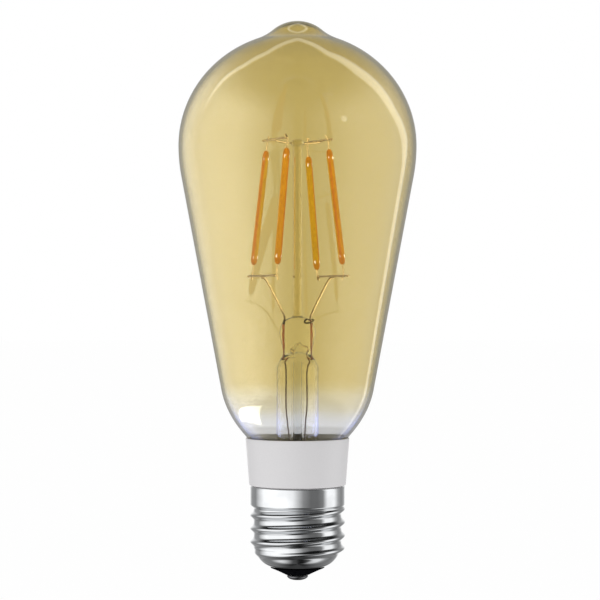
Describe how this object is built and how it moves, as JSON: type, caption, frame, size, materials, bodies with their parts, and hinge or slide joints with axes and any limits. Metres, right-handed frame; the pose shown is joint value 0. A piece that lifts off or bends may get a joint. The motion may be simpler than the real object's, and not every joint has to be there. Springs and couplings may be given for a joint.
{
  "type": "smart filament light bulb",
  "caption": "Teardrop LED filament bulb: amber-tinted glass, filaments on a glass stem, a white collar with the driver and radio inside, and an E27 screw cap.",
  "frame": {"origin": "middle of the centre contact's flat lower face, on the bulb's axis", "axes": "+Z along the bulb's axis from the cap's contact to the glass tip; -Y is the front, with one filament facing it"},
  "size_m": [0.065, 0.065, 0.1526],
  "materials": {
    "amber_glass": "clear blown glass with an amber gold coating that fades to clear at the neck",
    "clear_glass": "clear soft glass, drawn and pressed",
    "phosphor_silicone": "orange phosphor-filled silicone, slightly glossy",
    "ceramic_strip": "pale ceramic strip",
    "nickel_wire": "drawn nickel wire and tabs, slightly oxidised",
    "copper_seal": "copper-clad seal wire, reddish",
    "white_adhesive": "white silicone adhesive",
    "white_plastic": "satin white moulded plastic",
    "plated_brass": "bright nickel-plated brass sheet, fine drawing lines",
    "black_insulator": "glossy black vitreous insulator",
    "tinned_contact": "tinned metal, dull",
    "green_board": "green solder mask on glass-fibre board",
    "capacitor_sleeve": "dark shrink sleeve",
    "yellow_film": "yellow box film capacitor",
    "dark_resin": "moulded black resin",
    "resistor_body": "matt lacquered resistor body",
    "wire_sleeve": "white insulated wire"
  },
  "bodies": {
    "root": {"glass_envelope": "amber_glass", "stem_flare": "clear_glass", "exhaust_tube": "clear_glass", "centre_pillar": "clear_glass", "filament_left_coating": "phosphor_silicone", "filament_front_coating": "phosphor_silicone", "filament_back_coating": "phosphor_silicone", "filament_right_coating": "phosphor_silicone", "filament_left_strip": "ceramic_strip", "filament_front_strip": "ceramic_strip", "filament_back_strip": "ceramic_strip", "filament_right_strip": "ceramic_strip", "filament_left_top_tab": "nickel_wire", "filament_front_top_tab": "nickel_wire", "filament_back_top_tab": "nickel_wire", "filament_right_top_tab": "nickel_wire", "filament_left_bottom_tab": "nickel_wire", "filament_front_bottom_tab": "nickel_wire", "filament_back_bottom_tab": "nickel_wire", "filament_right_bottom_tab": "nickel_wire", "top_cross_wire_left": "nickel_wire", "top_cross_wire_right": "nickel_wire", "bottom_cross_wire_left": "nickel_wire", "bottom_cross_wire_right": "nickel_wire", "anchor_wire": "nickel_wire", "inner_lead_left": "nickel_wire", "inner_lead_right": "nickel_wire", "dumet_seal_left": "copper_seal", "dumet_seal_right": "copper_seal", "outer_lead_left": "copper_seal", "outer_lead_right": "copper_seal", "neck_adhesive": "white_adhesive", "collar_housing": "white_plastic", "screw_shell": "plated_brass", "base_insulator": "black_insulator", "centre_contact": "tinned_contact", "driver_board": "green_board", "radio_board": "green_board", "electrolytic_capacitor": "capacitor_sleeve", "film_capacitor": "yellow_film", "power_inductor": "dark_resin", "bridge_rectifier": "dark_resin", "driver_chip": "dark_resin", "fusible_resistor": "resistor_body", "radio_shield": "tinned_contact", "live_wire": "wire_sleeve", "neutral_wire": "wire_sleeve"}
  },
  "joints": []
}
